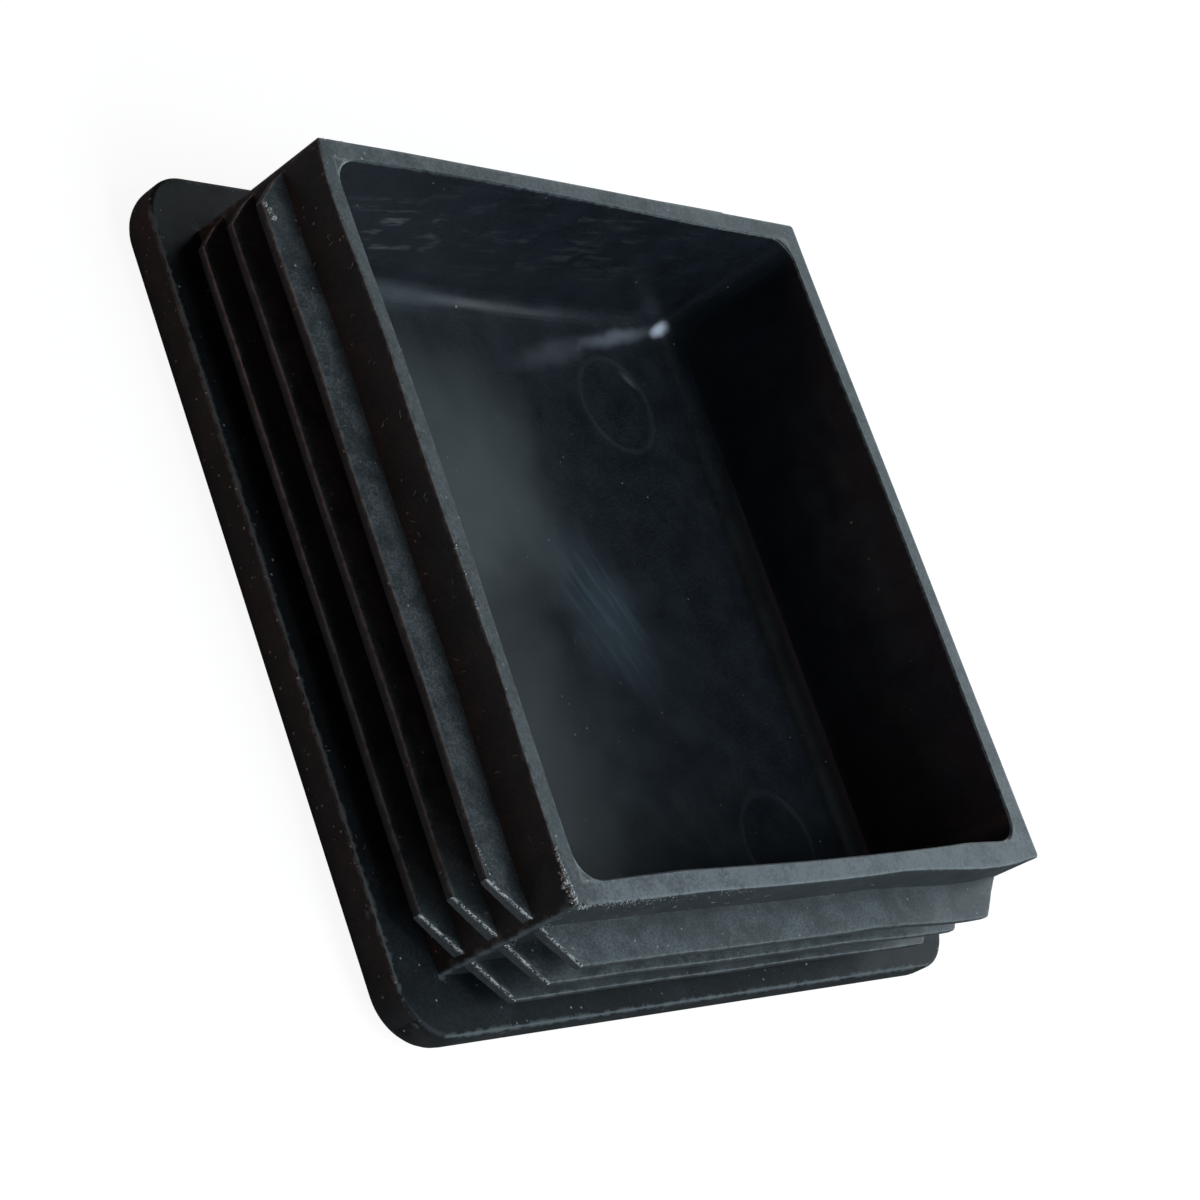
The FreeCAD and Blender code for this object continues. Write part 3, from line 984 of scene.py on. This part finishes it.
@dataclass(frozen=True)
class CavityPlastic(Plastic):
    """The smoother inside: a painted reflection, painted sheen and painted highlights on the floor, painted
    shade at the right wall's foot, painted light in the right wall's haze, scuffs on the walls, rings at the
    pins.
    """

    # Painted reflection: the pale colour of the floor where it mirrors the bright surroundings.
    painted_reflection: Colour = (0.088, 0.104, 0.110)
    # Painted sheen: a cool pale tone on the floor's middle and along the far wall's foot.
    cool_sheen: Colour = (0.066, 0.098, 0.120)
    # Painted highlight: the colour of the bright streak along the flow ridge and of the glint on one pin
    # ring.
    flow: Colour = (0.19, 0.215, 0.25)
    glint: Colour = (0.70, 0.77, 0.93)
    scuff: Colour = (0.15, 0.158, 0.17)
    ring: Colour = (0.045, 0.052, 0.062)
    # Mottled haze on the right wall, partly dust and partly painted light that lifts that wall.
    wall_haze_and_light: Colour = (0.024, 0.036, 0.043)
    # Painted shade: a dark strip along the right wall's foot.
    fillet_shade_tint: Colour = (0.0045, 0.0042, 0.0042)
    flow_heading: float = -1.14
    pin_radius: float = 3.95
    ring_width: float = 0.42
    floor: float = 2.2
    # Patches of the floor's painted reflection: upper and lower are pale, clear keeps it dark where the floor
    # mirrors the walls, and middle is a cool patch of painted sheen with streaks.
    upper: SoftPatch = SoftPatch((-7.0, 9.5, 2.2), (17.5, 13.5, 30.0), 0.0, 0.3)
    lower: SoftPatch = SoftPatch((-10.0, -13.5, 2.2), (15.0, 25.0, 30.0), 0.0, 0.1)
    middle: SoftPatch = SoftPatch((4.6, -0.6, 2.2), (6.0, 8.5, 30.0), 0.42, 0.05)
    clear: SoftPatch = SoftPatch((14.5, 11.5, 2.2), (15.6, 15.4, 30.0), 0.0, 0.48)
    # Painted highlight: a pale band along the far wall's foot, where its fillet catches light; the same band
    # is rougher.
    foot: SoftPatch = SoftPatch((-11.5, 23.2, 2.9), (13.5, 1.7, 1.5), 0.0, 0.3)
    # Painted highlights: a streak and its tail along the flow ridge, a bright spot in the far right corner
    # and a glint on one pin ring.
    streak_highlight: SoftPatch = SoftPatch((17.6, 22.5, 2.3), (7.0, 0.85, 1.7), 0.21, 0.0)
    tail_highlight: SoftPatch = SoftPatch((9.5, 20.6, 2.3), (8.0, 1.5, 1.7), 0.24, 0.0)
    corner: SoftPatch = SoftPatch((22.9, 23.4, 2.8), (1.15, 0.85, 1.2), 0.3, 0.08)
    # Painted shade along the right wall's foot.
    fillet_shade: SoftPatch = SoftPatch((23.2, -2.5, 2.6), (1.25, 23.5, 1.7), 0.0, 0.4)
    ring_glint: SoftPatch = SoftPatch((17.4, 18.9, 2.2), (1.3, 0.45, 1.0), -0.75, 0.1)
    rubbed_wall: SoftPatch = SoftPatch((-14.2, 24.1, 8.6), (9.5, 2.0, 5.5))
    faint_wall: SoftPatch = SoftPatch((0.0, 24.1, 11.0), (26.0, 2.0, 9.0))
    # Where the right wall's haze, with its painted light, lies.
    right_wall: SoftPatch = SoftPatch((25.0, 2.0, 9.8), (1.5, 30.0, 7.0))

    def rings(self, bench: Bench, where: Socket) -> Socket:
        """The soft pale rings round the ejector pins' marks."""
        found = None
        for x, y in PIN_PLACES:
            middle = (x * MM, y * MM, self.floor * MM)
            far = bench.node("VectorMath", {0: where, 1: middle}, operation="DISTANCE").outputs["Value"]
            off = bench.maths("ABSOLUTE", bench.minus(far, self.pin_radius * MM))
            ring = bench.near(off, self.ring_width * MM)
            found = ring if found is None else bench.maths("MAXIMUM", found, ring)
        return found

    def dull(self, bench: Bench, where: Socket) -> Socket:
        """The far wall's foot, which is rougher where its highlight is painted."""
        return self.foot.mask(bench, where)

    def wandering(self, bench: Bench, where: Socket, reach: float) -> Socket:
        """The place shifted about by a broad noise, so that a patch's outline wanders.

        Args:
            bench: the material's bench.
            where: the place.
            reach: the size of the shift, in millimetres; the noise is about as broad.

        Returns:
            The shifted place.
        """
        size = 1 / (max(reach, 1.5) * 1.4 * MM)
        mixed = bench.node("TexNoise", {"Vector": where, "Scale": size, "Detail": 1.0}).outputs["Color"]
        centred = bench.node("VectorMath", {0: mixed, 1: (-0.5, -0.5, -0.5)}, operation="ADD").outputs[0]
        shift = {0: centred, 1: (reach * MM, reach * MM, 0), 2: where}
        return bench.node("VectorMath", shift, operation="MULTIPLY_ADD").outputs[0]

    def floor_reflection(self, bench: Bench, where: Socket, colour: Socket) -> Socket:
        """The painted reflection on the floor, pale where the floor mirrors the bright surroundings and dark
        where it mirrors the far and right walls, and a cool patch of painted sheen, broken by streaks, in its
        middle.
        """
        turned = bench.stretched(where, (1, 1, 1), (0, 0, -self.flow_heading))
        streaks = Scuffs().use(bench, Place=turned, Width=0.75, Patch=7.0, Cover=1.0)["Mask"]
        haze = bench.ramp(bench.noise(where, 8.0, 2.0, 0.6), 0.3, 0.7, (0.75, 1.1))
        drifting = bench.maths("MULTIPLY_ADD", streaks, 0.6, bench.times(haze, 0.6), clamp=True)
        loose = self.wandering(bench, where, 5.0)
        lower = bench.times(self.lower.mask(bench, loose), 0.6)
        clear = bench.minus(1.0, self.clear.mask(bench, loose))
        upper = bench.times(self.upper.mask(bench, loose), bench.ramp(clear, 0.0, 1.0, (0.06, 1.0)))
        pale = bench.times(bench.maths("MAXIMUM", upper, lower), haze, clamp=True)
        colour = bench.lay(colour, pale, 0.8, self.painted_reflection)
        return bench.lay(colour, bench.times(self.middle.mask(bench, loose), drifting), 0.95, self.cool_sheen)

    def extra(self, bench: Bench, where: Socket, colour: Socket) -> Socket:
        """Painted reflection and highlights on the floor, painted shade at the right wall's foot, painted
        light in the right wall's haze, and scuffs on the walls.
        """
        colour = self.floor_reflection(bench, where, colour)
        slight = self.wandering(bench, where, 0.8)
        for mark, share, tint in (
            # Painted shade along the right wall's foot.
            (self.fillet_shade.mask(bench, where), 0.85, self.fillet_shade_tint),
            # Painted highlight along the far wall's foot.
            (self.foot.mask(bench, where), 0.22, self.cool_sheen),
            (self.rings(bench, where), 0.3, self.ring),
            # Painted highlights along the flow ridge, in the far right corner and on one pin ring.
            (self.tail_highlight.mask(bench, slight), 0.25, self.flow),
            (self.streak_highlight.mask(bench, slight), 0.8, self.flow),
            (self.corner.mask(bench, slight), 1.0, self.glint),
            (self.ring_glint.mask(bench, where), 0.3, self.flow),
        ):
            colour = bench.lay(colour, mark, share, tint)
        # The right wall's mottled haze: partly dust, partly painted light.
        mottled = bench.ramp(bench.noise(where, 3.5, 2.0, 0.65), 0.35, 0.7)
        hazy = bench.times(self.right_wall.mask(bench, where), mottled)
        colour = bench.lay(colour, hazy, 0.8, self.wall_haze_and_light)
        wall = bench.stretched(where, (1.5, 1, 1), (0, 0.12, 0))
        marks = Scuffs().use(bench, Place=wall, Width=0.85, Patch=2.6, Cover=0.72)["Mask"]
        faint = bench.times(self.faint_wall.mask(bench, where), 0.25)
        here = bench.maths("MAXIMUM", self.rubbed_wall.mask(bench, where), faint)
        return bench.lay(colour, bench.times(marks, here), 0.62, self.scuff)


@dataclass(frozen=True)
class TornPlastic:
    """Plastic that an edge tore off, and dust that clings to it: pale, rough and full of small facets."""

    name: str
    colour: Colour = (0.035, 0.045, 0.05)
    spread: Range = (0.8, 1.25)
    pale: Colour = (0.2, 0.235, 0.25)
    roughness: Range = (0.5, 0.22)
    specular: float = 0.5
    facet: float = 0.1
    depth: float = 0.03

    def share(self, bench: Bench, where: Socket, chance: Socket) -> Socket:
        """Where the plastic is at its palest: in some facets."""
        return bench.ramp(chance, 0.6, 0.95)

    def material(self) -> Material:
        """The finished material."""
        made, bench = new_material(self.name)
        where = bench.node("TexCoord").outputs["Object"]
        cells = bench.node("TexVoronoi", {"Vector": where, "Scale": 1 / (self.facet * MM)})
        chance = bench.node("SeparateColor", {0: cells.outputs["Color"]}).outputs[0]
        grain = MouldGrain().use(bench, Place=where, Size=self.facet * 1.4)
        share = self.share(bench, where, chance)
        colour = bench.shades(grain["Tone"], self.colour, self.spread)
        colour = bench.mix(share, colour, (*self.pale, 1))
        rough = bench.ramp(share, 0.0, 1.0, self.roughness)
        height = bench.maths("MULTIPLY_ADD", share, 0.6, grain["Height"])
        bench.surface(colour, rough, height, self.depth, self.specular)
        return made


@dataclass(frozen=True)
class CutPlastic(TornPlastic):
    """A rib's cut end: satin, with a row of beads that the knife raised along its upper edge, painted pale as
    bright glints.
    """

    colour: Colour = (0.045, 0.055, 0.06)
    # The beads' pale colour, a painted glint.
    pale: Colour = (0.75, 0.80, 0.82)
    roughness: Range = (0.42, 0.2)
    facet: float = 0.11
    depth: float = 0.015
    rib_pitch: float = 3.0
    bead_band: Range = (0.10, 0.36)

    def share(self, bench: Bench, where: Socket, chance: Socket) -> Socket:
        """Painted glints on the beads along the upper edge, closer together in some stretches."""
        straight = bench.node("Attribute", attribute_name=STRAIGHT).outputs["Vector"]
        z = bench.times(bench.parts(straight)[2], 1 / MM)
        turns = bench.maths("FRACT", bench.maths("DIVIDE", bench.minus(z, 0.002), self.rib_pitch))
        below = bench.times(bench.minus(1.0, turns), self.rib_pitch)
        band = bench.ramp(below, self.bead_band[1], self.bead_band[0])
        stretch = bench.ramp(bench.noise(where, 1.1, 1.0), 0.3, 0.5, (0.35, 1.0))
        return bench.times(band, stretch, bench.ramp(chance, 0.32, 0.6))


FINISHES: dict[Zone, Plastic | TornPlastic] = {
    Zone.SKIN: Plastic("moulded_skin", root_dust_shade=0.6),
    # The seat and the head's near side are darker and less glossy than the skin; on the head's near side the
    # darkness is painted shade.
    Zone.SEAT: Plastic("dark_seat", colour=(0.0105, 0.0145, 0.0175), specular=0.2, low_darkening=0.3),
    Zone.CAVITY: CavityPlastic(
        "cavity_skin",
        colour=(0.0088, 0.0122, 0.0172),
        roughness=0.37,
        grain_depth=0.0025,
        scratch_depth=0.0,
        low_darkening=0.0,
        dust_cover=0.07,
        dust_upright=0.0,
        dust_levels=(0.0, 1.0),
        speck_share=0.03,
        edge_strength=0.5,
    ),
    Zone.CUT_END: CutPlastic("cut_ends"),
    Zone.RIM: RimPlastic(
        "rim_face",
        colour=(0.026, 0.036, 0.039),
        roughness=0.44,
        grain_depth=0.004,
        wear_and_highlight=(0.17, 0.2, 0.205),
        griminess=0.0,
        dust_cover=0.66,
        speck_share=0.12,
    ),
}
SWARF = TornPlastic("torn_crumbs", colour=(0.19, 0.215, 0.22), pale=(0.52, 0.57, 0.57))
LINT = TornPlastic("lint", colour=(0.22, 0.22, 0.21), pale=(0.45, 0.45, 0.43), depth=0.005)


@dataclass(frozen=True)
class CrumbLine:
    """Where crumbs cling: from one place of the straight cap to another, in millimetres."""

    start: Point
    end: Point
    count: int
    sizes: tuple[float, float]
    scatter: Point = (0.03, 0.03, 0.03)


CRUMB_LINES = (
    CrumbLine((-26.05, -22.3, 15.5), (-26.05, -25.6, 15.5), 80, (0.04, 0.13), (0.06, 0.05, 0.06)),
    CrumbLine((-26.08, -23.8, 15.4), (-26.04, -26.0, 15.44), 110, (0.05, 0.13), (0.1, 0.08, 0.1)),
    CrumbLine((-26.0, -26.05, 15.5), (-24.6, -26.05, 15.46), 34, (0.05, 0.12), (0.08, 0.05, 0.1)),
    CrumbLine((-25.0, -26.05, 15.4), (-17.0, -26.04, 15.3), 120, (0.02, 0.06), (0.3, 0.01, 0.25)),
    CrumbLine((-22.0, -26.05, 14.9), (-8.0, -26.04, 14.6), 110, (0.015, 0.045), (0.6, 0.01, 0.5)),
    CrumbLine((-25.7, -26.1, 12.4), (-24.0, -26.1, 11.6), 26, (0.02, 0.05), (0.2, 0.02, 0.2)),
    CrumbLine((-25.7, -26.1, 9.3), (-24.4, -26.1, 8.4), 22, (0.02, 0.05), (0.15, 0.02, 0.2)),
    CrumbLine((-26.0, -2.2, 15.5), (-26.0, -8.2, 15.5), 16, (0.03, 0.08), (0.04, 0.2, 0.03)),
    CrumbLine((-26.0, 24.0, 15.48), (-26.0, -22.5, 15.48), 60, (0.015, 0.04), (0.05, 0.4, 0.04)),
    CrumbLine((-28.75, -20.6, 11.98), (-28.35, -23.0, 11.98), 34, (0.03, 0.09), (0.05, 0.1, 0.04)),
    CrumbLine((-28.75, 4.0, 11.97), (-28.75, -20.0, 11.97), 22, (0.015, 0.035), (0.03, 0.5, 0.02)),
    CrumbLine((-28.6, 22.5, 11.95), (-28.2, 21.5, 12.0), 16, (0.10, 0.20), (0.1, 0.12, 0.05)),
    CrumbLine((-25.2, 26.0, 15.47), (-18.2, 26.0, 15.47), 24, (0.02, 0.04), (0.08, 0.03, 0.01)),
    CrumbLine((25.9, -26.04, 15.45), (6.0, -26.04, 15.4), 34, (0.015, 0.04), (0.3, 0.02, 0.1)),
)


@dataclass
class Crumbs:
    """The torn crumbs that cling to the rim and the ribs, as one mesh."""

    moulding: CapMoulding
    lines: tuple[CrumbLine, ...] = CRUMB_LINES
    proud: float = 0.04
    seed: int = 11

    def crumb(self, bm: Mesh, chance: random.Random, place: Vector, size: float) -> None:
        """Adds one uneven crumb to the mesh."""
        made = bmesh.ops.create_icosphere(bm, subdivisions=1, radius=size)["verts"]
        stretch = [chance.uniform(0.6, 1.5) for _ in range(3)]
        bmesh.ops.scale(bm, vec=stretch, verts=made)
        bmesh.ops.rotate(bm, matrix=Matrix.Rotation(chance.uniform(0, math.tau), 3, "Y"), verts=made)
        for vert in made:
            vert.co *= chance.uniform(0.75, 1.25)
        bmesh.ops.translate(bm, vec=place, verts=made)

    def build(self) -> Piece:
        """All the crumbs, in metres."""
        chance = random.Random(self.seed)
        bm = bmesh.new()
        for line in self.lines:
            start, end = Vector(line.start), Vector(line.end)
            for _ in range(line.count):
                place = start.lerp(end, chance.random())
                place += Vector(chance.gauss(0, s) for s in line.scatter)
                place.z = min(place.z, self.moulding.rim_level + self.proud)
                self.crumb(bm, chance, self.moulding.moved(place), chance.uniform(*line.sizes))
        bmesh.ops.scale(bm, vec=(MM, MM, MM), verts=bm.verts)
        piece = as_object(bm, "torn_crumbs")
        piece.data.materials.append(SWARF.material())
        return piece


@dataclass(frozen=True)
class Patch:
    """A flat stretch of the cap where lint lies: a corner and two edges from it, in millimetres."""

    corner: Point
    first: Point
    second: Point
    count: int


LINT_PATCHES = (
    Patch((-26.07, -22.0, 12.3), (0, 42.0, 0), (0, 0, 2.6), 34),
    Patch((-26.0, -9.0, 15.52), (0, 7.5, 0), (0.7, 0, 0), 9),
    Patch((-28.6, -22.0, 12.02), (0, 42.0, 0), (2.2, 0, 0), 12),
    Patch((-25.5, -26.07, 12.4), (22.0, 0, 0), (0, 0, 2.6), 16),
    Patch((-29.8, -22.0, 3.52), (0, 36.0, 0), (0.9, 0, 0), 6),
    Patch((-20.0, -18.0, 2.22), (38.0, 0, 0), (0, 34.0, 0), 6),
)


@dataclass
class Lint:
    """Short fibres of dust that lie on the cap, as one mesh."""

    moulding: CapMoulding
    patches: tuple[Patch, ...] = LINT_PATCHES
    radius: float = 0.013
    lengths: tuple[float, float] = (0.12, 0.55)
    seed: int = 23

    def fibre(self, curve: bpy.types.Curve, chance: random.Random, patch: Patch) -> None:
        """Adds one curled fibre to the curve."""
        first, second = Vector(patch.first), Vector(patch.second)
        place = Vector(patch.corner) + first * chance.random() + second * chance.random()
        across, along_it = first.normalized(), second.normalized()
        heading = chance.uniform(0, math.tau)
        step = chance.uniform(*self.lengths) / 5
        spline = curve.splines.new("POLY")
        spline.points.add(5)
        for point in spline.points:
            here = self.moulding.moved(place)
            point.co = (*(here * MM), 1.0)
            heading += chance.gauss(0, 0.45)
            place = place + (across * math.cos(heading) + along_it * math.sin(heading)) * step

    def build(self) -> Piece:
        """All the fibres, as a mesh in metres."""
        chance = random.Random(self.seed)
        curve = bpy.data.curves.new("lint", "CURVE")
        curve.dimensions = "3D"
        curve.bevel_depth = self.radius * MM
        curve.bevel_resolution = 0
        curve.use_fill_caps = True
        for patch in self.patches:
            for _ in range(patch.count):
                self.fibre(curve, chance, patch)
        loose = bpy.data.objects.new("lint_curve", curve)
        bpy.context.scene.collection.objects.link(loose)
        graph = bpy.context.evaluated_depsgraph_get()
        mesh = bpy.data.meshes.new_from_object(loose.evaluated_get(graph))
        mesh.name = "lint"
        bpy.data.objects.remove(loose)
        bpy.data.curves.remove(curve)
        piece = bpy.data.objects.new("lint", mesh)
        bpy.context.scene.collection.objects.link(piece)
        mesh.materials.clear()
        mesh.materials.append(LINT.material())
        return piece


@dataclass(frozen=True)
class Softbox:
    """A square, evenly bright panel that looks at the cap."""

    name: str
    towards: Point
    brightness: float
    width: float = 0.3
    distance: float = 0.5
    colour: Colour = (1.0, 1.0, 1.0)

    def place(self) -> None:
        """Hangs the panel in the studio."""
        data = bpy.data.lights.new(self.name, "AREA")
        data.shape = "SQUARE"
        data.size = self.width
        data.energy = self.brightness * math.pi * self.width**2
        data.color = self.colour
        lamp = bpy.data.objects.new(self.name, data)
        away = Vector(self.towards).normalized()
        lamp.location = away * self.distance + Vector((0, 0, 0.008))
        lamp.rotation_mode = "QUATERNION"
        lamp.rotation_quaternion = away.to_track_quat("Z", "Y")
        bpy.context.scene.collection.objects.link(lamp)


SOFTBOXES = (
    Softbox("near_low", (0, -0.978, 0.208), 3.4, 0.24, colour=COOL),
    Softbox("near_high", (0, -0.819, 0.574), 3.8, 0.24, colour=COOL),
    Softbox("overhead", (0.1, -0.42, 0.9), 5.5, 0.24, colour=COOL),
    Softbox("right", (0.978, 0, 0.208), 4.0, 0.24, colour=COOL),
    Softbox("right_far", (0.847, 0.489, 0.208), 2.6, 0.24, colour=COOL),
    Softbox("right_front", (0.709, -0.41, 0.574), 2.3, 0.24, colour=COOL),
    Softbox("warm_left", (-0.87, 0.47, 0.09), 4.4, 0.18, colour=(1.0, 0.45, 0.34)),
)


@dataclass(frozen=True)
class Studio:
    """The pale floor, the panels and the white surroundings."""

    floor_colour: Colour = (0.16, 0.16, 0.16)
    backdrop: float = 0.92
    gloss_share: float = 0.02
    fill: float = 0.03

    def seen_directly(self, bench: Bench) -> Socket:
        """1 for what the camera sees, also through glass, and a small share for what gloss shows."""
        rays = bench.node("LightPath").outputs
        direct = bench.maths("ADD", rays["Is Camera Ray"], rays["Is Transmission Ray"], clamp=True)
        glossy = bench.times(rays["Is Glossy Ray"], self.gloss_share)
        return bench.maths("ADD", direct, glossy, clamp=True)

    def floor(self) -> None:
        """A large matt floor that shows white and keeps the cap's shadow."""
        bm = bmesh.new()
        bmesh.ops.create_grid(bm, x_segments=1, y_segments=1, size=3)
        piece = as_object(bm, "floor")
        made, bench = new_material("pale_floor")
        matt = bench.node("BsdfDiffuse", {"Color": (*self.floor_colour, 1)})
        strength = bench.times(self.seen_directly(bench), self.backdrop)
        glow = bench.node("Emission", {"Strength": strength})
        both = bench.node("AddShader", {0: matt.outputs[0], 1: glow.outputs[0]})
        bench.node("OutputMaterial", {"Surface": both.outputs[0]})
        piece.data.materials.append(made)

    def surroundings(self) -> None:
        """White to the eye, and a faint even fill to the cap."""
        world = bpy.data.worlds.new("surroundings")
        world.use_nodes = True
        bench = Bench(world.node_tree)
        strength = bench.maths("MAXIMUM", self.seen_directly(bench), self.fill)
        light = bench.node("Background", {"Color": (1, 1, 1, 1), "Strength": strength})
        bench.node("OutputWorld", {"Surface": light.outputs[0]})
        bpy.context.scene.world = world

    def build(self) -> None:
        """Sets up the floor, the surroundings, the panels and the plain view."""
        self.floor()
        self.surroundings()
        for softbox in SOFTBOXES:
            softbox.place()
        bpy.context.scene.view_settings.view_transform = "Standard"


def make_camera() -> None:
    """The camera at the photograph's angle, rolled as the photograph is."""
    data = bpy.data.cameras.new("camera")
    data.sensor_width = 36.0
    data.lens = 91.089
    data.clip_start, data.clip_end = 0.01, 20.0
    camera = bpy.data.objects.new("camera", data)
    right = Vector((0.62661, -0.31936, 0.71090))
    up = Vector((-0.01174, 0.90821, 0.41835))
    back = Vector((-0.77925, -0.27049, 0.56534))
    turned = Matrix((right, up, back)).transposed().to_4x4()
    camera.matrix_world = Matrix.Translation((-0.16457, -0.05843, 0.12482)) @ turned
    bpy.context.scene.collection.objects.link(camera)
    bpy.context.scene.camera = camera


def main() -> None:
    """Builds the scene."""
    logging.basicConfig(level=logging.INFO)
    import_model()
    make_camera()
    moulding = CapMoulding()
    piece = moulding.build()
    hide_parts(NODE)
    for made in (piece, Crumbs(moulding).build(), Lint(moulding).build()):
        LOG.info("%s: %d faces", made.name, len(made.data.polygons))
        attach(made, BODY)
    Studio().build()


if __name__ == "__main__":
    main()
